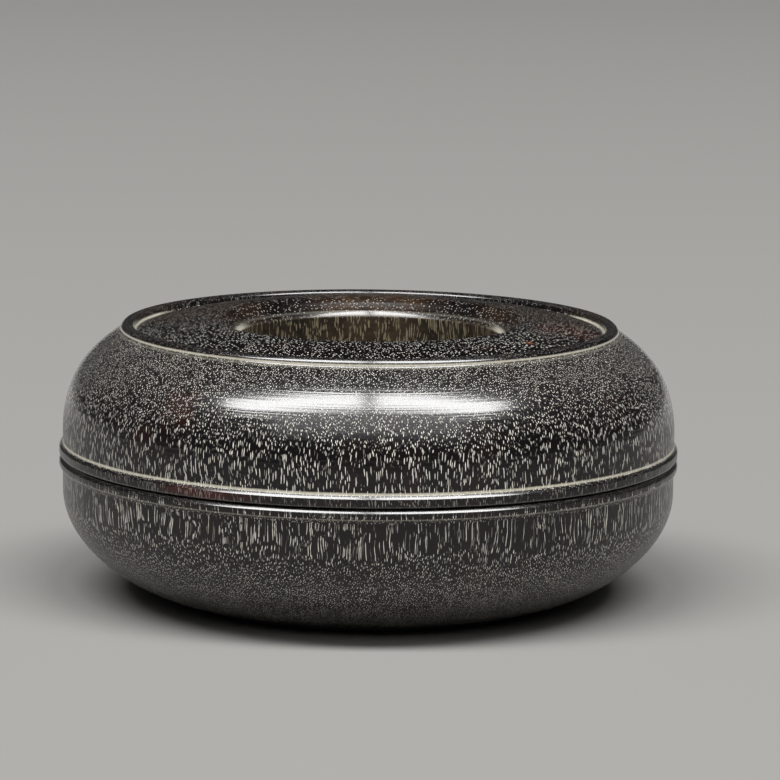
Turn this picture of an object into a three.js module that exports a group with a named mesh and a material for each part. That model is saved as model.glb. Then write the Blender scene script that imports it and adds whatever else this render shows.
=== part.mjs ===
// A ring-shaped hardwood box for a string of beads: a lid and a base, each turned from one block.
// Units are millimetres, +Z is up, and the origin is the centre of the circle that the foot stands on.

import * as THREE from "three";
import { mergeVertices } from "three/addons/utils/BufferGeometryUtils.js";

// Facets
const TURN_STEPS = 60; // facets round the axis
const QUARTER = 3; // steps in a small quarter round
const BEND = 2; // steps in each bend of a moulding
const SWEEP = 6; // steps in a long curve

// Overall form
const BODY_RADIUS = 87; // plain outer wall
const HOLE_RADIUS = 37.3; // hole through the middle of both halves
const SEAM_HEIGHT = 39.7; // seat face of the base above the table
const WALL = 6; // outer wall, floor and top
const HUB_WALL = 6; // wall round the hole

// Foot and belly of the base
const FOOT_HEIGHT = 1.6;
const FOOT_OUTER = 58;
const FOOT_WIDTH = 8;
const FOOT_ARRIS = 0.5;
const BELLY_START = 30; // height where the plain wall starts to turn under
const BELLY_DROP = 16.6; // how far the belly holds to the line of the wall
const BELLY_PULL = 7; // how far it holds to the line of the underside
const HOLE_LIP_BELOW = 4; // rounding of the hole at the underside
const CHANNEL_FILLET = 6; // where the channel's floor and top meet the hub

// The rims that meet at the seam. Each has a tight edge, a sloping top and, on the lid, a cove at its foot.
const RIM_PROUD = 1;
const RIM_TURN = 37; // degrees, where the tight edge eases into the slope
const RIM_LEAN = 46; // degrees, where the slope ends
const LID_RIM_FACE = 2.35; // from the lid's seat to where the rim starts to round over
const LID_RIM_ARRIS = 0.8;
const LID_RIM_EDGE = 0.35;
const LID_RIM_COVE = 0.25;
const BASE_RIM_FACE = 2.1; // from the seam to where the rim rounds under
const BASE_RIM_TOP = 1.35; // width of the top, from the face in to the level seat
const BASE_RIM_EDGE = 0.35;
const BASE_RIM_EASE = 0.9; // rounding from the slope into the seat
const BASE_RIM_ROUND = 1.5;
const BASE_RIM_COVE = 1.5;

// The lip of the base that the lid drops over, on the outer wall and on the hub
const LIP_HEIGHT = 5;
const LIP_THICKNESS = 2.7;
const LIP_CHAMFER = 0.5;
const SEAT_GAP = 0.3; // clearance all round the lip and at the seat
const HOLE_ARRIS = 0.4; // broken edge of the hole at the seam

// Shoulder of the lid and the raised bead round its top
const SHOULDER_START = 7.1; // above the seam
const SHOULDER_RISE = 16.8; // how far the shoulder holds to the line of the wall
const SHOULDER_PULL = 8.8; // how far it holds to its slope below the bead
const SHOULDER_LEAN = 34; // that slope, in degrees from level
const BEAD_RADIUS = 68.8; // middle of the bead
const BEAD_WIDTH = 3.6;
const BEAD_TOP = 37.5; // above the seam
const BEAD_ROUND = 1.3;
const BEAD_COVE_OUT = 1;
const BEAD_COVE_IN = 0.8;

// Crown of the lid, which rolls over into the mouth of the hole
const CROWN_TOP = 38.8; // above the seam
const CROWN_RUN = 8.7; // from the wall of the hole out to the highest line
const CROWN_PULL = 2.8; // how far the crown holds its level inside that line
const MOUTH_SLOPE = 38; // degrees from level, where the crown runs down into the cove
const MOUTH_PULL = 2.3; // how far it holds to that slope
const MOUTH_COVE = 1.3; // hollow between the crown and the lip
const MOUTH_CREST = 60; // degrees from level, where the cove meets the lip's edge
const MOUTH_EDGE = 0.3; // edge of the lip
const MOUTH_TURN = 45; // degrees that the lip's face turns through, down into the hole
const MOUTH_ROUND = 3; // rounding of that face
const MOUTH_DEPTH = 5.2; // from the highest line down to the foot of that face

const sandalwood = new THREE.MeshStandardMaterial({ color: 0x1d1210, roughness: 0.3, metalness: 0 });

const radians = THREE.MathUtils.degToRad;
const at = (radius, height) => new THREE.Vector2(radius, height);

// Points on an ellipse about (radius, height), from one angle to another in degrees.
function arc(radius, height, across, up, from, to, steps) {
  const curve = new THREE.EllipseCurve(
    radius,
    height,
    across,
    up,
    radians(from),
    radians(to),
    to < from,
  );
  return curve.getPoints(steps);
}

// A solid of revolution about +Z from a closed outline of (radius, height) points.
function turned(name, outline) {
  const apart = outline.filter((p, i) => p.distanceTo(outline[(i + 1) % outline.length]) > 1e-4);
  const lathe = new THREE.LatheGeometry([...apart, apart[0]], TURN_STEPS);
  lathe.rotateX(Math.PI / 2);
  lathe.deleteAttribute("normal");
  lathe.deleteAttribute("uv");
  const geometry = mergeVertices(lathe, 1e-4);
  geometry.computeVertexNormals();
  const mesh = new THREE.Mesh(geometry, sandalwood);
  mesh.name = name;
  return mesh;
}

const innerRadius = BODY_RADIUS - WALL;
const hubRadius = HOLE_RADIUS + HUB_WALL;
const filletRadius = hubRadius + CHANNEL_FILLET;
const rimRadius = BODY_RADIUS + RIM_PROUD;
const lipOuter = innerRadius + LIP_THICKNESS;
const hubLip = hubRadius - LIP_THICKNESS;
const lipTop = SEAM_HEIGHT + LIP_HEIGHT;

// A run of arcs that join smoothly. The surface faces an angle in degrees at its start. Each bend gives
// a radius, below 0 where it is hollow, and the angle that the surface faces at its end.
function flow(start, startAngle, bends) {
  const points = [start];
  let facing = startAngle;
  for (const [bend, end] of bends) {
    const last = points.at(-1);
    const lean = radians(facing);
    const axis = at(last.x - bend * Math.cos(lean), last.y - bend * Math.sin(lean));
    points.push(...arc(axis.x, axis.y, bend, bend, facing, end, BEND).slice(1));
    facing = end;
  }
  return points;
}

// How far in a bend of radius 1 goes between two angles.
const partWidth = (from, to) => Math.cos(radians(from)) - Math.cos(radians(to));

// The lid's rim, from its upright face over the sloping top into the cove at the foot of the wall.
function lidRim(height) {
  const rounds = LID_RIM_EDGE * partWidth(0, RIM_TURN) + LID_RIM_COVE * partWidth(0, RIM_LEAN);
  const slope = (RIM_PROUD - rounds) / partWidth(RIM_TURN, RIM_LEAN);
  return flow(at(rimRadius, height), 0, [
    [LID_RIM_EDGE, RIM_TURN],
    [slope, RIM_LEAN],
    [-LID_RIM_COVE, 0],
  ]);
}

// The base's rim above its face: a tight edge, the sloping top, and a rounding into the seat.
function baseRimTop() {
  const rounds = BASE_RIM_EDGE * partWidth(0, RIM_TURN) + BASE_RIM_EASE * partWidth(RIM_LEAN, 90);
  const slope = (BASE_RIM_TOP - rounds) / partWidth(RIM_TURN, RIM_LEAN);
  const bends = [
    [BASE_RIM_EDGE, RIM_TURN],
    [slope, RIM_LEAN],
    [BASE_RIM_EASE, 90],
  ];
  const rise = flow(at(0, 0), 0, bends).at(-1).y;
  return flow(at(rimRadius, SEAM_HEIGHT - rise), 0, bends);
}

// The base's rim below its face: it rounds under, then hollows out into the plain wall.
function baseRimFoot() {
  const turn = Math.acos(1 - RIM_PROUD / (BASE_RIM_ROUND + BASE_RIM_COVE));
  return flow(at(rimRadius, SEAM_HEIGHT - BASE_RIM_FACE), 0, [
    [BASE_RIM_ROUND, -THREE.MathUtils.radToDeg(turn)],
    [-BASE_RIM_COVE, 0],
  ]);
}

// The belly from the foot up to the plain wall, set in by a wall's thickness for the inside.
function belly(setIn) {
  const under = FOOT_HEIGHT + setIn;
  const wall = BODY_RADIUS - setIn;
  const drop = (BELLY_DROP * (BELLY_START - under)) / (BELLY_START - FOOT_HEIGHT);
  return new THREE.CubicBezierCurve(
    at(FOOT_OUTER, under),
    at(FOOT_OUTER + BELLY_PULL, under),
    at(wall, BELLY_START - drop),
    at(wall, BELLY_START),
  ).getPoints(SWEEP);
}

// The base, from the foot outwards, up the wall, over the outer lip, round the channel and down the hole.
function baseOutline() {
  const floorHeight = FOOT_HEIGHT + WALL;
  const footInner = FOOT_OUTER - FOOT_WIDTH;
  const lipBelow = HOLE_RADIUS + HOLE_LIP_BELOW;
  return [
    at(footInner + FOOT_ARRIS, 0),
    at(FOOT_OUTER - FOOT_ARRIS, 0),
    at(FOOT_OUTER, FOOT_ARRIS),
    ...belly(0),
    ...baseRimFoot().reverse(),
    ...baseRimTop(),
    at(lipOuter, SEAM_HEIGHT),
    at(lipOuter, lipTop - LIP_CHAMFER),
    at(lipOuter - LIP_CHAMFER, lipTop),
    at(innerRadius, lipTop),
    ...belly(WALL).reverse(),
    ...arc(filletRadius, floorHeight + CHANNEL_FILLET, CHANNEL_FILLET, CHANNEL_FILLET, 270, 180, QUARTER),
    at(hubRadius, lipTop),
    at(hubLip + LIP_CHAMFER, lipTop),
    at(hubLip, lipTop - LIP_CHAMFER),
    at(hubLip, SEAM_HEIGHT),
    at(HOLE_RADIUS + HOLE_ARRIS, SEAM_HEIGHT),
    at(HOLE_RADIUS, SEAM_HEIGHT - HOLE_ARRIS),
    ...arc(lipBelow, FOOT_HEIGHT + HOLE_LIP_BELOW, HOLE_LIP_BELOW, HOLE_LIP_BELOW, 180, 270, QUARTER),
    at(footInner, FOOT_HEIGHT),
    at(footInner, FOOT_ARRIS),
  ];
}

const crown = SEAM_HEIGHT + CROWN_TOP;
const crownRadius = HOLE_RADIUS + CROWN_RUN;
const beadSide = SEAM_HEIGHT + BEAD_TOP - BEAD_ROUND;
const coveAxis = BEAD_RADIUS + BEAD_WIDTH / 2 + BEAD_COVE_OUT;
const crownEdge = BEAD_RADIUS - BEAD_WIDTH / 2 - BEAD_COVE_IN;

// The shoulder from the plain wall up to the cove below the bead, set in for the inside as the belly is.
function shoulder(setIn) {
  const start = SEAM_HEIGHT + SHOULDER_START;
  const lean = radians(SHOULDER_LEAN);
  const top = at(
    coveAxis - (BEAD_COVE_OUT + setIn) * Math.sin(lean),
    beadSide - (BEAD_COVE_OUT + setIn) * Math.cos(lean),
  );
  const pull = at(SHOULDER_PULL * Math.cos(lean), -SHOULDER_PULL * Math.sin(lean));
  return new THREE.CubicBezierCurve(
    at(BODY_RADIUS - setIn, start),
    at(BODY_RADIUS - setIn, start + SHOULDER_RISE),
    top.clone().add(pull),
    top,
  ).getPoints(SWEEP);
}

// Points on the crown between its highest line and the bead, lowered by a wall's thickness for the inside.
function crownLine(from, to, lower) {
  const fall = crown - (beadSide - BEAD_COVE_IN);
  return Array.from({ length: SWEEP }, (_, i) => {
    const radius = from + ((to - from) * (i + 1)) / (SWEEP + 1);
    const share = (radius - crownRadius) / (crownEdge - crownRadius);
    return at(radius, crown - fall * share ** 2 - lower);
  });
}

// From its highest line the crown slopes down into a cove, and a lip turns over into the hole.
function mouth() {
  const lip = flow(at(HOLE_RADIUS, crown - MOUTH_DEPTH), 180, [
    [MOUTH_ROUND, 180 - MOUTH_TURN],
    [MOUTH_EDGE, MOUTH_CREST],
    [-MOUTH_COVE, 90 + MOUTH_SLOPE],
  ]);
  const foot = lip.at(-1);
  const lean = radians(MOUTH_SLOPE);
  const roll = new THREE.CubicBezierCurve(
    at(crownRadius, crown),
    at(crownRadius - CROWN_PULL, crown),
    at(foot.x + MOUTH_PULL * Math.cos(lean), foot.y + MOUTH_PULL * Math.sin(lean)),
    foot,
  );
  return [...roll.getPoints(SWEEP), ...lip.reverse()];
}

// The lid, from its outer seat up the shoulder, over the bead and crown, down the hole and round the channel.
function lidOutline() {
  const seat = SEAM_HEIGHT + SEAT_GAP;
  const rimArris = seat + LID_RIM_ARRIS;
  const rebateTop = lipTop + SEAT_GAP;
  const rebateOuter = lipOuter + SEAT_GAP;
  const rebateHub = hubLip - SEAT_GAP;
  const ceiling = crown - WALL;
  const inside = shoulder(WALL).reverse();
  return [
    at(rebateOuter, seat),
    ...arc(rimRadius - LID_RIM_ARRIS, rimArris, LID_RIM_ARRIS, LID_RIM_ARRIS, -90, 0, QUARTER),
    ...lidRim(seat + LID_RIM_FACE),
    ...shoulder(0),
    ...arc(coveAxis, beadSide, BEAD_COVE_OUT, BEAD_COVE_OUT, 270 - SHOULDER_LEAN, 180, QUARTER),
    ...arc(BEAD_RADIUS, beadSide, BEAD_WIDTH / 2, BEAD_ROUND, 0, 180, 2 * QUARTER),
    ...arc(crownEdge, beadSide, BEAD_COVE_IN, BEAD_COVE_IN, 0, -90, QUARTER),
    ...crownLine(crownEdge, crownRadius, 0),
    ...mouth(),
    at(HOLE_RADIUS, seat + HOLE_ARRIS),
    at(HOLE_RADIUS + HOLE_ARRIS, seat),
    at(rebateHub, seat),
    at(rebateHub, rebateTop),
    at(hubRadius, rebateTop),
    ...arc(filletRadius, ceiling - CHANNEL_FILLET, CHANNEL_FILLET, CHANNEL_FILLET, 180, 90, QUARTER),
    ...crownLine(filletRadius, inside[0].x, WALL),
    ...inside,
    at(innerRadius, rebateTop),
    at(rebateOuter, rebateTop),
  ];
}

const box = new THREE.Group();
box.add(turned("base", baseOutline()));
box.add(turned("lid", lidOutline()));

export default box;
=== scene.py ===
# A ring-shaped bead box of red sandalwood: turned lid and base, polished with wax.
# Metres, +Z up, the origin under the middle of the box.

import math
from types import SimpleNamespace

import bmesh
import bpy
from mathutils import Matrix, Vector


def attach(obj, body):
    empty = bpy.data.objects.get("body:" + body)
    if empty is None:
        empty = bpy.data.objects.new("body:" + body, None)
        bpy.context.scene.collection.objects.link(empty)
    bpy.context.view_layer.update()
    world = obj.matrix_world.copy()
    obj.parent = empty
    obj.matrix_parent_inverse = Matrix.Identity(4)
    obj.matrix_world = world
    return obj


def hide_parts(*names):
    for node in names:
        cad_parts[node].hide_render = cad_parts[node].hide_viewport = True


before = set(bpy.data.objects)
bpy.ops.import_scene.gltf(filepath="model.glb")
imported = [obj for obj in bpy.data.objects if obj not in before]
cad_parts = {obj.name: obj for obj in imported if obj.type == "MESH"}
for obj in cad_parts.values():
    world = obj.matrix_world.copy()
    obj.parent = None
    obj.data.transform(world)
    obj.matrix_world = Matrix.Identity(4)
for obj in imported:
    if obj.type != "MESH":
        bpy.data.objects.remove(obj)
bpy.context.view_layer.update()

MM = 0.001
SEGMENTS = 240  # round the axis
FINE = 10  # steps in a small round
LONG = 36  # steps in a long curve
SAME_POINT = 1e-3  # points of an outline nearer than this are one
SHARP_EDGE = math.radians(32)

# Outside of both halves, in millimetres
BODY_RADIUS = 87.0
HOLE_RADIUS = 37.3
SEAM = 39.7
WALL = 6.0
HUB_WALL = 6.0

# Foot and belly
FOOT_HEIGHT = 1.6
FOOT_OUTER = 58.0
FOOT_WIDTH = 8.0
FOOT_ARRIS = 0.5
BELLY_START = 30.0
BELLY_DROP = 16.6
BELLY_PULL = 7.0
HOLE_LIP_BELOW = 4.0
CHANNEL_FILLET = 6.0

# Rims at the seam: a tight edge, a sloping top, and on the lid a cove at its foot
RIM_PROUD = 1.0
RIM_TURN = 37  # degrees, where the tight edge eases into the slope
RIM_LEAN = 46  # degrees, where the slope ends
LID_RIM_FACE = 2.35
LID_RIM_ARRIS = 0.8
LID_RIM_EDGE = 0.35
LID_RIM_COVE = 0.25
BASE_RIM_FACE = 2.1
BASE_RIM_TOP = 1.35
BASE_RIM_EDGE = 0.35
BASE_RIM_EASE = 0.9
BASE_RIM_ROUND = 1.5
BASE_RIM_COVE = 1.5

# Lip and rebate
LIP_HEIGHT = 5.0
LIP_THICKNESS = 2.7
LIP_CHAMFER = 0.5
SEAT_GAP = 0.3
HOLE_ARRIS = 0.4

# Shoulder and bead of the lid, heights above the seam. The bead's top and outer face, and the lip's face
# below, are the scene's own, to mirror the lamps as in the photograph: the solids' are rounder.
SHOULDER_START = 7.1
SHOULDER_RISE = 16.8
SHOULDER_PULL = 8.8
SHOULDER_LEAN = math.radians(34)  # from level, where the shoulder meets the bead
BEAD_RADIUS = 68.8
BEAD_WIDTH = 3.6
BEAD_TOP = 37.7
BEAD_ROUND = 1.5
BEAD_FACE = 3.5  # radius of the flatter part of its outer face, which catches the lamps
BEAD_FACE_FOOT = 35.5  # degrees from level that this part faces, at its foot and at its head
BEAD_FACE_HEAD = 48
BEAD_COVE_OUT = 1.0
BEAD_COVE_IN = 0.8

# Crown and the moulding round the mouth of the hole
CROWN_TOP = 38.8
CROWN_RUN = 8.7  # from the wall of the hole out to the highest line
CROWN_PULL = 2.8
MOUTH_SLOPE = 38  # degrees from level, where the crown runs down into the cove
MOUTH_PULL = 2.3
MOUTH_COVE = 1.3
MOUTH_CREST = 60  # degrees from level, where the cove meets the lip's edge
MOUTH_EDGE = 0.3
LIP_FACE_TOP = 134  # degrees that the lip's face leans at its two ends, where 180 faces into the hole
LIP_FACE_FOOT = 143
LIP_FACE_ROUND = 13.0
LIP_FOOT_ROUND = 0.8
MOUTH_DEPTH = 5.2

inner_radius = BODY_RADIUS - WALL
hub_radius = HOLE_RADIUS + HUB_WALL
rim_radius = BODY_RADIUS + RIM_PROUD
lip_outer = inner_radius + LIP_THICKNESS
lip_top = SEAM + LIP_HEIGHT
hub_lip = hub_radius - LIP_THICKNESS
seat = SEAM + SEAT_GAP
bead_side = SEAM + BEAD_TOP - BEAD_ROUND
bead_outer = BEAD_RADIUS + BEAD_WIDTH / 2
cove_axis = bead_outer + BEAD_COVE_OUT
crown_edge = BEAD_RADIUS - BEAD_WIDTH / 2 - BEAD_COVE_IN
crown = SEAM + CROWN_TOP
crown_radius = HOLE_RADIUS + CROWN_RUN


def arc(radius, height, across, up, start, end, steps=FINE):
    """Points on an ellipse about (radius, height), between two angles in degrees."""
    points = []
    for i in range(steps + 1):
        angle = math.radians(start + (end - start) * i / steps)
        points.append((radius + across * math.cos(angle), height + up * math.sin(angle)))
    return points


def sweep(p0, p1, p2, p3):
    """A long curve from p0 to p3, pulled towards p1 and p2."""
    points = []
    for i in range(LONG + 1):
        t = i / LONG
        s = 1 - t
        points.append(tuple(
            s ** 3 * a + 3 * s * s * t * b + 3 * s * t * t * c + t ** 3 * d
            for a, b, c, d in zip(p0, p1, p2, p3)
        ))
    return points


def flow(point, facing, bends):
    """A run of arcs that join smoothly. The surface faces an angle in degrees at the start, and each bend
    gives a radius, below 0 where it is hollow, and the angle that the surface faces at its end."""
    points = [point]
    for radius, end in bends:
        start = math.radians(facing)
        centre = (point[0] - radius * math.cos(start), point[1] - radius * math.sin(start))
        points += arc(*centre, radius, radius, facing, end)[1:]
        point = points[-1]
        facing = end
    return points


def part_width(degrees_from, degrees_to):
    """How far in a bend of radius 1 goes between two angles."""
    return math.cos(math.radians(degrees_from)) - math.cos(math.radians(degrees_to))


def lid_rim():
    """From the upright face over the sloping top into the cove at the foot of the wall."""
    rounds = LID_RIM_EDGE * part_width(0, RIM_TURN) + LID_RIM_COVE * part_width(0, RIM_LEAN)
    slope = (RIM_PROUD - rounds) / part_width(RIM_TURN, RIM_LEAN)
    bends = [(LID_RIM_EDGE, RIM_TURN), (slope, RIM_LEAN), (-LID_RIM_COVE, 0)]
    return flow((rim_radius, seat + LID_RIM_FACE), 0, bends)


def base_rim_top():
    """A tight edge, the sloping top, and a rounding into the seat."""
    rounds = BASE_RIM_EDGE * part_width(0, RIM_TURN) + BASE_RIM_EASE * part_width(RIM_LEAN, 90)
    slope = (BASE_RIM_TOP - rounds) / part_width(RIM_TURN, RIM_LEAN)
    bends = [(BASE_RIM_EDGE, RIM_TURN), (slope, RIM_LEAN), (BASE_RIM_EASE, 90)]
    rise = flow((0, 0), 0, bends)[-1][1]
    return flow((rim_radius, SEAM - rise), 0, bends)


def base_rim_foot():
    """The rounding under the face and the hollow below it."""
    bend = math.degrees(math.acos(1 - RIM_PROUD / (BASE_RIM_ROUND + BASE_RIM_COVE)))
    return flow((rim_radius, SEAM - BASE_RIM_FACE), 0, [(BASE_RIM_ROUND, -bend), (-BASE_RIM_COVE, 0)])


def belly(set_in):
    """The curve from the foot up to the plain wall, set in by the wall's thickness for the channel."""
    under = FOOT_HEIGHT + set_in
    side = BODY_RADIUS - set_in
    drop = BELLY_DROP * (BELLY_START - under) / (BELLY_START - FOOT_HEIGHT)
    foot_pull = (FOOT_OUTER + BELLY_PULL, under)
    side_pull = (side, BELLY_START - drop)
    return sweep((FOOT_OUTER, under), foot_pull, side_pull, (side, BELLY_START))


def shoulder(set_in):
    """The curve from the plain wall of the lid up to its bead."""
    start = SEAM + SHOULDER_START
    side = BODY_RADIUS - set_in
    reach = BEAD_COVE_OUT + set_in
    lean = (math.cos(SHOULDER_LEAN), math.sin(SHOULDER_LEAN))
    top = (cove_axis - reach * lean[1], bead_side - reach * lean[0])
    pull = (top[0] + SHOULDER_PULL * lean[0], top[1] - SHOULDER_PULL * lean[1])
    return sweep((side, start), (side, start + SHOULDER_RISE), pull, top)


def bead():
    """A tight edge, the flatter face, a rounding over the top, and the inner side."""
    edge_across, edge_up = part_width(0, BEAD_FACE_FOOT), part_width(90 - BEAD_FACE_FOOT, 90)
    top_across, top_up = part_width(BEAD_FACE_HEAD, 90), part_width(0, 90 - BEAD_FACE_HEAD)
    # The edge and the rounding share what the face leaves of the width and of the height.
    across = BEAD_WIDTH / 2 - BEAD_FACE * part_width(BEAD_FACE_FOOT, BEAD_FACE_HEAD)
    up = BEAD_ROUND - BEAD_FACE * part_width(90 - BEAD_FACE_HEAD, 90 - BEAD_FACE_FOOT)
    shared = edge_across * top_up - top_across * edge_up
    edge = (across * top_up - top_across * up) / shared
    top = (edge_across * up - across * edge_up) / shared
    bends = [(edge, BEAD_FACE_FOOT), (BEAD_FACE, BEAD_FACE_HEAD), (top, 90)]
    inner = arc(BEAD_RADIUS, bead_side, BEAD_WIDTH / 2, BEAD_ROUND, 90, 180)
    return flow((bead_outer, bead_side), 0, bends) + inner[1:]


def crown_line(start, end, lower):
    """The low dome between the bead and the hole."""
    fall = crown - (bead_side - BEAD_COVE_IN)
    points = []
    for i in range(LONG + 1):
        radius = start + (end - start) * i / LONG
        part = (radius - crown_radius) / (crown_edge - crown_radius)
        points.append((radius, crown - fall * part * part - lower))
    return points


def mouth():
    """From the ridge of the crown down a slope into a fine cove, and over the lip into the hole."""
    facing = 90 + MOUTH_SLOPE
    bends = [
        (LIP_FOOT_ROUND, LIP_FACE_FOOT),
        (LIP_FACE_ROUND, LIP_FACE_TOP),
        (MOUTH_EDGE, MOUTH_CREST),
        (-MOUTH_COVE, facing),
    ]
    lip = flow((HOLE_RADIUS, crown - MOUTH_DEPTH), 180, bends)
    foot = lip[-1]
    lean = math.radians(MOUTH_SLOPE)
    ridge = (crown_radius, crown)
    ridge_pull = (crown_radius - CROWN_PULL, crown)
    foot_pull = (foot[0] + MOUTH_PULL * math.cos(lean), foot[1] + MOUTH_PULL * math.sin(lean))
    return sweep(ridge, ridge_pull, foot_pull, foot) + lip[::-1]


def base_outlines():
    """The polished outside, from the hub's lip down the hole and round to the outer lip, and the channel."""
    channel_floor = FOOT_HEIGHT + WALL
    foot_inner = FOOT_OUTER - FOOT_WIDTH
    fillet = CHANNEL_FILLET
    lip_below = HOLE_LIP_BELOW
    outside = [
        (hub_radius, lip_top),
        (hub_lip + LIP_CHAMFER, lip_top),
        (hub_lip, lip_top - LIP_CHAMFER),
        (hub_lip, SEAM),
        (HOLE_RADIUS + HOLE_ARRIS, SEAM),
        (HOLE_RADIUS, SEAM - HOLE_ARRIS),
        *arc(HOLE_RADIUS + lip_below, FOOT_HEIGHT + lip_below, lip_below, lip_below, 180, 270),
        (foot_inner, FOOT_HEIGHT),
        (foot_inner, FOOT_ARRIS),
        (foot_inner + FOOT_ARRIS, 0),
        (FOOT_OUTER - FOOT_ARRIS, 0),
        (FOOT_OUTER, FOOT_ARRIS),
        *belly(0),
        *reversed(base_rim_foot()),
        *base_rim_top(),
        (lip_outer, SEAM),
        (lip_outer, lip_top - LIP_CHAMFER),
        (lip_outer - LIP_CHAMFER, lip_top),
        (inner_radius, lip_top),
    ]
    channel = [
        *reversed(belly(WALL)),
        *arc(hub_radius + fillet, channel_floor + fillet, fillet, fillet, 270, 180),
    ]
    return outside, channel


def lid_outlines():
    """The polished outside, from the outer rebate up over the crown and down the hole, and the channel."""
    rebate_top = lip_top + SEAT_GAP
    rebate_outer = lip_outer + SEAT_GAP
    rebate_hub = hub_lip - SEAT_GAP
    arris = LID_RIM_ARRIS
    fillet = CHANNEL_FILLET
    under_shoulder = shoulder(WALL)
    hub_top = hub_radius + fillet
    cove_start = 270 - math.degrees(SHOULDER_LEAN)
    outside = [
        (inner_radius, rebate_top),
        (rebate_outer, rebate_top),
        (rebate_outer, seat),
        *arc(rim_radius - arris, seat + arris, arris, arris, -90, 0),
        *lid_rim(),
        *shoulder(0),
        *arc(cove_axis, bead_side, BEAD_COVE_OUT, BEAD_COVE_OUT, cove_start, 180),
        *bead(),
        *arc(crown_edge, bead_side, BEAD_COVE_IN, BEAD_COVE_IN, 0, -90),
        *crown_line(crown_edge, crown_radius, 0),
        *mouth(),
        (HOLE_RADIUS, seat + HOLE_ARRIS),
        (HOLE_RADIUS + HOLE_ARRIS, seat),
        (rebate_hub, seat),
        (rebate_hub, rebate_top),
        (hub_radius, rebate_top),
    ]
    channel = [
        *arc(hub_top, crown - WALL - fillet, fillet, fillet, 180, 90),
        *crown_line(hub_top, under_shoulder[-1][0], WALL),
        *reversed(under_shoulder),
    ]
    return outside, channel


def turned(name, outlines, finishes):
    """A solid of revolution about +Z. Its outline of (radius, height) in millimetres comes in two runs,
    the outside and the channel, which each have a finish."""
    points = []
    for run in outlines:
        channel_start = len(points)
        for point in run:
            if not points or math.dist(point, points[-1]) > SAME_POINT:
                points.append(point)
    mesh = bpy.data.meshes.new(name)
    bm = bmesh.new()
    rings = []
    for i in range(SEGMENTS):
        angle = 2 * math.pi * i / SEGMENTS
        x, y = math.cos(angle), math.sin(angle)
        rings.append([bm.verts.new((r * MM * x, r * MM * y, z * MM)) for r, z in points])
    for i in range(SEGMENTS):
        here = rings[i]
        after = rings[(i + 1) % SEGMENTS]
        for j in range(len(points)):
            k = (j + 1) % len(points)
            face = bm.faces.new((here[j], after[j], after[k], here[k]))
            face.material_index = int(j >= channel_start - 1)
    bmesh.ops.recalc_face_normals(bm, faces=bm.faces)
    bm.to_mesh(mesh)
    bm.free()
    mesh.shade_smooth()
    mesh.set_sharp_from_angle(angle=SHARP_EDGE)
    for finish in finishes:
        mesh.materials.append(finish)
    piece = bpy.data.objects.new(name, mesh)
    bpy.context.collection.objects.link(piece)
    return piece


def linear(code):
    """An sRGB hex value as a linear colour with alpha."""
    channels = [int(code[i:i + 2], 16) / 255 for i in (1, 3, 5)]
    return [c / 12.92 if c <= 0.04045 else ((c + 0.055) / 1.055) ** 2.4 for c in channels] + [1.0]


def add(tree, kind, settings, *links, out=0, **named):
    """Adds a node, sets its settings and fills its inputs, in order, by name or, as i6, by number.
    Gives back one of its outputs, or the node itself where out is None."""
    node = tree.nodes.new("ShaderNode" + kind)
    for key, value in settings.items():
        setattr(node, key, value)
    filled = dict(enumerate(links))
    for key, value in named.items():
        filled[int(key[1:]) if key[1:].isdigit() else key.replace("_", " ")] = value
    for key, value in filled.items():
        if isinstance(value, bpy.types.NodeSocket):
            tree.links.new(value, node.inputs[key])
        else:
            node.inputs[key].default_value = value
    return node if out is None else node.outputs[out]


# Settings that many nodes share
PLUS = {"operation": "ADD"}
MINUS = {"operation": "SUBTRACT"}
TIMES = {"operation": "MULTIPLY"}
HIGHER = {"operation": "MAXIMUM"}
NEAR = {"operation": "COMPARE"}
LENGTH = {"operation": "LENGTH"}
EASED = {"interpolation_type": "SMOOTHSTEP"}
STRAIGHT = {"interpolation_type": "LINEAR"}
COLOUR = {"data_type": "RGBA"}

# Sizes of the wood's patterns, in millimetres
FIBRE_WANDER = 14  # along a bend of the fibres
FIBRE_STRAY = 3.2
RING_PART = 9  # where vessels stand closer or wider apart
CLUSTER = 1.7
WAX_BREAK = (0.5, 0.5, 2.2)  # lengths of wax in a long vessel
LONG_VESSEL = 5
BAND = (16, 5, 70)  # growth bands
RAGGED = 7  # edges of the red patches
PATCH = 5  # flecks of colour and dust
CRUMB = 1.2  # wax in the hollows

# Pitch, width and length of the vessels. Real ones are some 0.15 mm wide, which is too fine to show, so
# they are drawn some two thirds wider, and on the crown, which is seen aslant, some three times as wide.
BASE_GRAIN = (0.44, 0.25, 13.0)
LID_GRAIN = (0.46, 0.262, 2.1)
BARE_GRAIN = (0.5, 0.24, 3.0)
CROWN_GRAIN = (0.84, 0.43, 3.0)

# How near-black wood shades from one growth band to the next, polished and bare
BAND_STOPS = (0.30, 0.52, 0.68, 0.82)
POLISHED_TONES = ("#060405", "#0e090a", "#1c0f0e", "#331611")
BARE_TONES = ("#1a0e0b", "#25140f", "#331b13", "#462418")
OLD_WAX = "#faf6ec"
YELLOWED_WAX = "#a5977a"
# The wax in the hollows; also the colour of the painted reflections at the mouth and under the base's rim.
HOLLOW_WAX_AND_REFLECTION = "#efe9d5"
OPEN_PORE = "#0c0706"
DUST = "#625a4c"

# Where the looks change, in millimetres: heights, and places along y
TOP_FOOT = crown - 5
TOP_HEAD = crown - 4
FOOT_WORN = FOOT_HEIGHT - 0.2
FOOT_WHOLE = FOOT_HEIGHT - 0.1
RIMS_MIDDLE = SEAM + 0.8
FILM_THIN = 49.0
FILM_FULL = 58.0
DOTS_FAINT = 25.0
DOTS_CLEAR = -40.0

# The same, as distances out from the wall of the hole
HOLE_EDGE = 0.8
RUBBED_MOUTH = 3
MOUTH_END = 4
DOME_START = 3
DOME_FULL = 5

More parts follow.
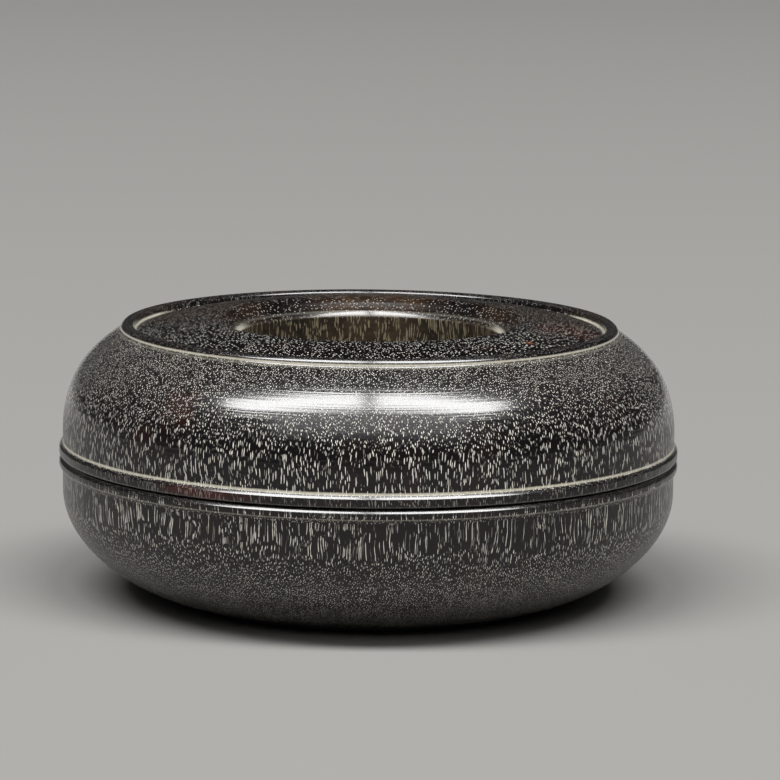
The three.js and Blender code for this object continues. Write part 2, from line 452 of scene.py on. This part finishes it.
# And how far to either side of a middle line something reaches
RIMS_REACH = 2.6
SLOPE_REACH = 0.45
BEAD_REACH = 1.9

# Wax left in the hollows that a cloth doesn't reach, and lines of painted reflection drawn the same way:
# radius, height and reach in millimetres, how full, and how far back along y it goes
ALL_ROUND = 200
WAX_AND_REFLECTION_FADE = 12
WAX_AND_REFLECTION_LINES = [
    (BODY_RADIUS + 0.15, seat + LID_RIM_FACE + 1.45, 0.25, 1.0, ALL_ROUND),
    (bead_outer + 0.07, bead_side - 0.14, 0.2, 1.0, ALL_ROUND),
    (bead_outer + 0.6, bead_side - 0.9, 0.4, 0.15, ALL_ROUND),
    (crown_edge + 0.3, bead_side - 0.5, 0.4, 1.0, 35),
    # Bright crescents at the two ends of the mouth, kept to the front: partly wax on the lip, partly a
    # painted reflection of light at a grazing angle.
    (HOLE_RADIUS + 0.6, crown - 4.4, 0.9, 1.0, 17),
    (HOLE_RADIUS + 1.3, crown - 3.6, 0.4, 0.12, ALL_ROUND),
]
# A pale line on the rounding under the base's rim: painted reflection of the pale floor, not wax.
BASE_REFLECTION_LINES = [(BODY_RADIUS + 0.7, SEAM - BASE_RIM_FACE - 0.6, 0.1, 0.5, ALL_ROUND)]

# Fresher heartwood, a browner back of the dome that is partly painted sheen, and a small nick: place, reach
# in millimetres, height as a share of that reach, how far the edge strays, and colour
LID_TINTS_AND_SHEEN = [
    (-50, -66, 63, 8, 1.0, 16, "#2c100c"),
    (-61, -62, 54, 6, 1.0, 16, "#240e0b"),
    (-43, -76, 41.6, 20, 0.11, 3, "#3e1009"),
    (55, -12, 76, 15, 1.0, 16, "#34160f"),
    # The back of the dome and its sides, browner: partly the wood, partly painted sheen of the room's light.
    (0, 45, 78, 26, 1.0, 22, "#3e2d1e"),
    (-48, 16, 77, 30, 1.0, 22, "#30231a"),
    (48, 16, 77, 30, 1.0, 22, "#30231a"),
    (44.0, -37.5, 77.3, 1.7, 1.0, 1.5, "#9c5f3f"),
    (41.25, 26.25, 78.4, 1.2, 1.0, 1, "#a98478"),
]
BASE_REDS = [(30, -82, 20, 9, 1.0, 16, "#22100d"), (-70, 50, 25, 12, 1.0, 16, "#2a120e")]


def places(tree, turn):
    """Where a point lies, in millimetres: here in the box, spun within its block, and along the fibre."""
    at = SimpleNamespace()
    metres = add(tree, "TexCoord", {}, out="Object")
    at.here = add(tree, "VectorMath", {"operation": "SCALE"}, metres, Scale=1 / MM)
    at.spun = add(tree, "VectorRotate", {"rotation_type": "Z_AXIS"}, at.here, Angle=turn)
    at.across = add(tree, "SeparateXYZ", {}, at.here, out="Y")
    at.height = add(tree, "SeparateXYZ", {}, at.here, out="Z")
    flat = add(tree, "VectorMath", TIMES, at.here, (1, 1, 0))
    at.radius = add(tree, "VectorMath", LENGTH, flat, out="Value")
    at.section = add(tree, "CombineXYZ", {}, at.radius, at.height)
    at.patchy = add(tree, "TexNoise", {}, at.spun, Scale=1 / PATCH, Detail=3.0)

    # The fibres wander a little on their way up.
    wander = add(tree, "TexNoise", {}, at.spun, Scale=1 / FIBRE_WANDER, Detail=2.0, out="Color")
    wander = add(tree, "VectorMath", MINUS, wander, (0.5, 0.5, 0.5))
    wander = add(tree, "VectorMath", TIMES, wander, (FIBRE_STRAY, FIBRE_STRAY, 0.0))
    at.fibre = add(tree, "VectorMath", PLUS, at.spun, wander)
    return at


def mark_parts(tree, at):
    """Marks parts of the box from 0 to 1: the hole, the crown, the rims, the foot, and what is smooth."""
    at.hole = add(tree, "MapRange", EASED, at.radius, HOLE_RADIUS + HOLE_EDGE, HOLE_RADIUS, 0.0, 1.0)
    on_top = add(tree, "MapRange", EASED, at.height, TOP_FOOT, TOP_HEAD, 0.0, 1.0)
    at.crown = add(tree, "MapRange", EASED, at.radius, crown_edge, crown_edge - 1, 0.0, 1.0)
    at.crown = add(tree, "Math", TIMES, at.crown, on_top)
    at.rims = add(tree, "Math", NEAR, at.height, RIMS_MIDDLE, RIMS_REACH)
    # The foot is worn bare.
    at.off_foot = add(tree, "MapRange", STRAIGHT, at.height, FOOT_WORN, FOOT_WHOLE, 0.0, 1.0)

    # The bead, the rims and the mouth are rubbed smooth.
    on_bead = add(tree, "Math", NEAR, at.radius, BEAD_RADIUS, BEAD_REACH)
    on_bead = add(tree, "Math", TIMES, on_bead, on_top)
    mouth_end, rubbed = HOLE_RADIUS + MOUTH_END, HOLE_RADIUS + RUBBED_MOUTH
    on_mouth = add(tree, "MapRange", EASED, at.radius, mouth_end, rubbed, 0.0, 1.0)
    on_mouth = add(tree, "Math", TIMES, on_mouth, on_top)
    at.smooth = add(tree, "Math", HIGHER, on_bead, at.rims)
    at.smooth = add(tree, "Math", HIGHER, at.smooth, on_mouth)


def mark_wood(tree, at, length):
    """How close the vessels stand, how far apart their edges are and where their wax is broken."""
    # Vessels stand closer in some parts of a growth ring than in others, and in loose clusters.
    ring_parts = add(tree, "TexNoise", {}, at.spun, Scale=1 / RING_PART, Detail=2.0)
    ring_parts = add(tree, "MapRange", STRAIGHT, ring_parts, 0.3, 0.7, -0.12, 0.12)
    clusters = add(tree, "TexNoise", {}, at.spun, Scale=1 / CLUSTER, Detail=1.0)
    clusters = add(tree, "MapRange", STRAIGHT, clusters, 0.35, 0.65, -0.1, 0.1)
    at.crowding = add(tree, "Math", PLUS, ring_parts, clusters)

    # In the hole they are out of reach of the cloth: fewer are filled, and those stay wide.
    fewer = add(tree, "Math", TIMES, at.hole, 0.55)
    at.crowding = add(tree, "Math", MINUS, at.crowding, fewer)
    at.narrower = add(tree, "MapRange", STRAIGHT, at.hole, 0.0, 1.0, 1.0, 0.55)

    # In the longest of them the wax is broken into short lengths.
    lengths = add(tree, "VectorMath", TIMES, at.fibre, tuple(1 / size for size in WAX_BREAK))
    at.broken = add(tree, "TexNoise", {}, lengths, Scale=1.0, Detail=1.0)
    thin = 0.45 if length > LONG_VESSEL else 0.9
    at.broken = add(tree, "MapRange", EASED, at.broken, 0.36, 0.5, thin, 1.0)


def vessels(tree, at, pitch, width, length, sparse):
    """Vessels cut open, round across the grain and long up it: pitch, width and length in millimetres."""
    squeezed = add(tree, "VectorMath", TIMES, at.fibre, (1 / pitch, 1 / pitch, width / (pitch * length)))
    # Neighbours start at different heights.
    slip = add(tree, "VectorMath", {"operation": "DOT_PRODUCT"}, squeezed, (0.37, 0.61, 0), out="Value")
    slip = add(tree, "CombineXYZ", {}, 0.0, 0.0, slip)
    squeezed = add(tree, "VectorMath", PLUS, squeezed, slip)
    cells = add(tree, "TexVoronoi", {"feature": "F1"}, squeezed, Scale=1.0, Randomness=0.7, out=None)
    away = add(tree, "Math", TIMES, cells.outputs["Distance"], pitch / width)
    away = add(tree, "Math", TIMES, away, at.narrower)
    chance = add(tree, "SeparateColor", {}, cells.outputs["Color"])
    chance = add(tree, "Math", PLUS, chance, at.crowding)
    filled = add(tree, "MapRange", STRAIGHT, chance, sparse, sparse + 0.2, 0.0, 1.0)
    inside = add(tree, "MapRange", EASED, away, 0.55, 0.45, 0.0, 1.0)
    inside = add(tree, "Math", TIMES, inside, filled)
    return add(tree, "Math", TIMES, inside, at.broken)


def pores(tree, at, pitch, width, length):
    """Vessels of two sizes on the walls, and dots on the crown, which fade towards the back."""
    fine = vessels(tree, at, pitch * 0.78, width * 0.65, length * 0.7, 0.35)
    fine = add(tree, "Math", TIMES, fine, 0.4)
    walls = add(tree, "Math", HIGHER, vessels(tree, at, pitch, width, length, 0.0), fine)
    rough = add(tree, "MapRange", STRAIGHT, at.smooth, 0.0, 1.0, 1.0, 0.3)
    walls = add(tree, "Math", TIMES, walls, rough)
    off_crown = add(tree, "Math", MINUS, 1.0, at.crown)
    walls = add(tree, "Math", TIMES, walls, off_crown)
    walls = add(tree, "Math", TIMES, walls, at.off_foot)
    front = add(tree, "MapRange", EASED, at.across, DOTS_FAINT, DOTS_CLEAR, 0.4, 1.0)
    dots = add(tree, "Math", TIMES, vessels(tree, at, *CROWN_GRAIN, 0.0), front)
    dots = add(tree, "Math", TIMES, dots, at.crown)
    return add(tree, "Math", PLUS, walls, dots)


def heartwood(tree, at, tones, tints_and_sheen):
    """Growth bands, the red of fresher heartwood, and other patches where they are given, some of them
    painted sheen.
    """
    bands = add(tree, "VectorMath", TIMES, at.fibre, tuple(1 / size for size in BAND))
    bands = add(tree, "TexNoise", {}, bands, Scale=1.0, Detail=4.0, Roughness=0.6)
    ramp = add(tree, "ValToRGB", {}, bands, out=None)
    while len(ramp.color_ramp.elements) < len(tones):
        ramp.color_ramp.elements.new(0.5)
    for stop, position, tone in zip(ramp.color_ramp.elements, BAND_STOPS, tones):
        stop.position = position
        stop.color = linear(tone)
    colour = ramp.outputs[0]

    ragged = add(tree, "TexNoise", {}, at.spun, Scale=1 / RAGGED, Detail=4.0, out="Color")
    ragged = add(tree, "VectorMath", MINUS, ragged, (0.5, 0.5, 0.5))
    flecked = add(tree, "MapRange", EASED, at.patchy, 0.35, 0.6, 0.4, 1.0)
    for x, y, z, reach, tall, stray, tone in tints_and_sheen:
        strayed = add(tree, "VectorMath", TIMES, ragged, (stray, stray, stray))
        offset = add(tree, "VectorMath", PLUS, at.here, strayed)
        offset = add(tree, "VectorMath", MINUS, offset, (x, y, z))
        offset = add(tree, "VectorMath", TIMES, offset, (1, 1, 1 / tall))
        away = add(tree, "VectorMath", LENGTH, offset, out="Value")
        tint_and_sheen = add(tree, "MapRange", EASED, away, reach, reach * 0.4, 0.0, 1.0)
        tint_and_sheen = add(tree, "Math", TIMES, tint_and_sheen, flecked)
        colour = add(tree, "Mix", COLOUR, tint_and_sheen, i6=colour, i7=linear(tone), out=2)
    return colour


def fill_pores(tree, at, colour, pore, fill):
    """Wax in the pores. In the hole it has yellowed, and dust lies on it."""
    fill = add(tree, "Mix", COLOUR, at.hole, i6=linear(fill), i7=linear(YELLOWED_WAX), out=2)
    colour = add(tree, "Mix", COLOUR, pore, i6=colour, i7=fill, out=2)
    dust = add(tree, "Math", TIMES, at.hole, at.patchy)
    dust = add(tree, "Math", TIMES, dust, 0.6)
    return add(tree, "Mix", COLOUR, dust, i6=colour, i7=linear(DUST), out=2)


def fill_hollows_and_paint_reflections(tree, at, colour, wax_and_reflection_lines):
    """Wax in the hollows, uneven along them, and painted reflections drawn the same way."""
    crumbs = add(tree, "TexNoise", {}, at.here, Scale=1 / CRUMB, Detail=3.0)
    crumbs = add(tree, "Math", TIMES, crumbs, 0.2)
    for radius, height, reach, full, back in wax_and_reflection_lines:
        line = (radius, height, 0)
        away = add(tree, "VectorMath", {"operation": "DISTANCE"}, at.section, line, out="Value")
        away = add(tree, "Math", PLUS, away, crumbs)
        wax_and_reflection = add(tree, "MapRange", EASED, away, reach + 0.4, reach * 0.5, 0.0, full)
        kept = add(tree, "MapRange", EASED, at.across, back, back - WAX_AND_REFLECTION_FADE, 0.0, 1.0)
        wax_and_reflection = add(tree, "Math", TIMES, wax_and_reflection, kept)
        colour = add(tree, "Mix", COLOUR, wax_and_reflection, i6=colour, i7=linear(HOLLOW_WAX_AND_REFLECTION), out=2)
    return colour


def film_of_wax(tree, at, pore):
    """The film that gives the gloss: fullest on the shoulder, the bead, the mouth and the rims' slopes,
    thin on the walls and the dome, and none in the hole and the pores."""
    between = add(tree, "MapRange", STRAIGHT, pore, 0.0, 1.0, 1.0, 0.0)
    on_shoulder = add(tree, "MapRange", EASED, at.height, FILM_THIN, FILM_FULL, 0.1, 1.0)
    slopes = add(tree, "Math", NEAR, at.radius, BODY_RADIUS + RIM_PROUD / 2, SLOPE_REACH)
    slopes = add(tree, "Math", TIMES, slopes, at.rims)
    rubbed = add(tree, "Math", HIGHER, slopes, on_shoulder)
    rubbed = add(tree, "Math", MINUS, rubbed, at.hole)
    dome_start, dome_full = HOLE_RADIUS + DOME_START, HOLE_RADIUS + DOME_FULL
    on_dome = add(tree, "MapRange", EASED, at.radius, dome_start, dome_full, 0.0, 0.9)
    on_dome = add(tree, "Math", TIMES, on_dome, at.crown)
    rubbed = add(tree, "Math", MINUS, rubbed, on_dome)
    return add(tree, "Math", {"operation": "MULTIPLY", "use_clamp": True}, between, rubbed)


def surface(tree, shader, at, pore, spacing, depth):
    """Fine rings that the turning tool left, shallower where it is rubbed, and pores a little below."""
    rings = add(tree, "TexNoise", {}, at.section, Scale=1 / spacing, Detail=3.0)
    cut = add(tree, "MapRange", STRAIGHT, at.smooth, 0.0, 1.0, 0.5, 0.1)
    lines = add(tree, "Bump", {}, Strength=cut, Distance=depth * MM, Height=rings)
    pits = add(tree, "Bump", {"invert": True}, Strength=0.5, Distance=0.04 * MM, Height=pore, Normal=lines)
    tree.links.new(pits, shader.inputs["Normal"])
    tree.links.new(lines, shader.inputs["Coat Normal"])


def sandalwood(name, turn, grain, wax_and_reflection_lines, tints_and_sheen, polished=True):
    """Red sandalwood, turned. Polished by hand with wax it is near-black with a deep gloss, and old wax
    fills its open pores pale: dashes up the walls and dots on top. Left bare it is browner and dull."""
    material = bpy.data.materials.new(name)
    material.use_nodes = True
    tree = material.node_tree
    shader = tree.nodes["Principled BSDF"]
    at = places(tree, turn)
    mark_parts(tree, at)
    mark_wood(tree, at, grain[-1])
    pore = pores(tree, at, *grain)

    colour = heartwood(tree, at, POLISHED_TONES if polished else BARE_TONES, tints_and_sheen)
    colour = fill_pores(tree, at, colour, pore, OLD_WAX if polished else OPEN_PORE)
    colour = fill_hollows_and_paint_reflections(tree, at, colour, wax_and_reflection_lines)
    tree.links.new(colour, shader.inputs["Base Color"])

    shader.inputs["IOR"].default_value = 1.45
    shader.inputs["Coat Roughness"].default_value = 0.14
    # Above wax's 1.45, to match the glare in the photograph under a plain level of light
    shader.inputs["Coat IOR"].default_value = 1.75
    if polished:
        dull = add(tree, "MapRange", STRAIGHT, pore, 0.0, 1.0, 0.28, 0.7)
        tree.links.new(film_of_wax(tree, at, pore), shader.inputs["Coat Weight"])
        # Real lines are 0.5 mm apart, and drawn twice as far, to show at all.
        surface(tree, shader, at, pore, spacing=1.0, depth=0.16)
    else:
        dull = add(tree, "MapRange", STRAIGHT, at.patchy, 0.0, 1.0, 0.5, 0.7)
        surface(tree, shader, at, pore, spacing=1.1, depth=0.08)
    tree.links.new(dull, shader.inputs["Roughness"])
    return material


FLOOR_REACH = 30.0  # metres, to each side
FLOOR_COLOUR = "#a6a4a1"


def floor():
    """A sheet of pale matt board."""
    material = bpy.data.materials.new("matt_board")
    material.use_nodes = True
    shader = material.node_tree.nodes["Principled BSDF"]
    shader.inputs["Base Color"].default_value = linear(FLOOR_COLOUR)
    shader.inputs["Roughness"].default_value = 0.7
    mesh = bpy.data.meshes.new("floor")
    corners = [(x * FLOOR_REACH, y * FLOOR_REACH, 0) for x, y in ((-1, -1), (1, -1), (1, 1), (-1, 1))]
    mesh.from_pydata(corners, [], [(0, 1, 2, 3)])
    mesh.materials.append(material)
    sheet = bpy.data.objects.new("floor", mesh)
    bpy.context.collection.objects.link(sheet)


# Lamps, in metres: two level strips over the front of the box, which the shoulder mirrors, and a dim
# panel in front
LAMP_HEIGHT = 10.0
LEFT_WIDTH = 0.84 * LAMP_HEIGHT
RIGHT_WIDTH = 0.76 * LAMP_HEIGHT
LEFT_X = -0.45 * LAMP_HEIGHT
RIGHT_X = 0.412 * LAMP_HEIGHT
STRIP_DEPTH = 0.36 * LAMP_HEIGHT
STRIP_Y = -0.34 * LAMP_HEIGHT
STRIP_RADIANCE = 10.1
FILL_PLACE = (0, -4.4, 4.4)
FILL_WIDTH = 8.0
FILL_DEPTH = 3.0
FILL_RADIANCE = 0.8
FILL_AIM = (0, 0, 0.04)
ROOM_COLOUR = "#c4c8cc"
ROOM_STRENGTH = 0.04


def softbox(name, place, width, depth, radiance, aim=None):
    """A flat lamp that hangs level, or is turned to face a point; radiance is what it shows to a mirror."""
    light = bpy.data.lights.new(name, "AREA")
    light.shape = "RECTANGLE"
    light.size = width
    light.size_y = depth
    light.energy = radiance * math.pi * width * depth
    lamp = bpy.data.objects.new(name, light)
    lamp.location = place
    if aim is not None:
        lamp.rotation_mode = "QUATERNION"
        lamp.rotation_quaternion = (Vector(place) - Vector(aim)).to_track_quat("Z", "Y")
    bpy.context.collection.objects.link(lamp)


def studio():
    """The lamps and a dim room."""
    softbox("left_strip", (LEFT_X, STRIP_Y, LAMP_HEIGHT), LEFT_WIDTH, STRIP_DEPTH, STRIP_RADIANCE)
    softbox("right_strip", (RIGHT_X, STRIP_Y, LAMP_HEIGHT), RIGHT_WIDTH, STRIP_DEPTH, STRIP_RADIANCE)
    softbox("front_fill", FILL_PLACE, FILL_WIDTH, FILL_DEPTH, FILL_RADIANCE, FILL_AIM)
    world = bpy.data.worlds.new("world")
    bpy.context.scene.world = world
    world.use_nodes = True
    room = world.node_tree.nodes["Background"]
    room.inputs[0].default_value = linear(ROOM_COLOUR)
    room.inputs[1].default_value = ROOM_STRENGTH


# The camera of the photograph, fitted to the seam: its place in radii of the seam, its turns in degrees,
# and its focal length in pixels of the square picture
SEAM_RADIUS = 87.3 * MM
CAMERA_PLACE = (0, -13.0, 2.752)
YAW, PITCH, ROLL = (math.radians(degrees) for degrees in (0.300, 9.13, 0.63))
FOCAL_PIXELS = 4035
PICTURE_PIXELS = 780
SENSOR_WIDTH = 36


def camera():
    """Looks from the front, a little down, and is rolled by a trace."""
    level = math.cos(PITCH)
    forward = Vector((math.sin(YAW) * level, math.cos(YAW) * level, -math.sin(PITCH)))
    right = Vector((math.cos(YAW), -math.sin(YAW), 0))
    up = right.cross(forward)
    right_rolled = math.cos(ROLL) * right + math.sin(ROLL) * up
    up_rolled = -math.sin(ROLL) * right + math.cos(ROLL) * up
    data = bpy.data.cameras.new("camera")
    data.sensor_width = SENSOR_WIDTH
    data.lens = FOCAL_PIXELS / PICTURE_PIXELS * SENSOR_WIDTH
    data.clip_start = 0.05
    data.clip_end = 100
    view = bpy.data.objects.new("camera", data)
    axes = Matrix((right_rolled, up_rolled, -forward)).transposed()
    view.matrix_world = Matrix.Translation(Vector(CAMERA_PLACE) * SEAM_RADIUS) @ axes.to_4x4()
    bpy.context.collection.objects.link(view)
    bpy.context.scene.camera = view


bare = sandalwood("bare_sandalwood", 1.2, BARE_GRAIN, [], [], False)
polished_base = sandalwood("waxed_sandalwood_base", 0.4, BASE_GRAIN, BASE_REFLECTION_LINES, BASE_REDS)
polished_lid = sandalwood("waxed_sandalwood_lid", 2.1, LID_GRAIN, WAX_AND_REFLECTION_LINES, LID_TINTS_AND_SHEEN)
base = turned("turned_base", base_outlines(), [polished_base, bare])
lid = turned("turned_lid", lid_outlines(), [polished_lid, bare])
for piece, body in ((base, "base"), (lid, "lid")):
    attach(piece, body)
    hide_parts(body)

floor()
studio()
camera()
bpy.context.scene.view_settings.view_transform = "Standard"
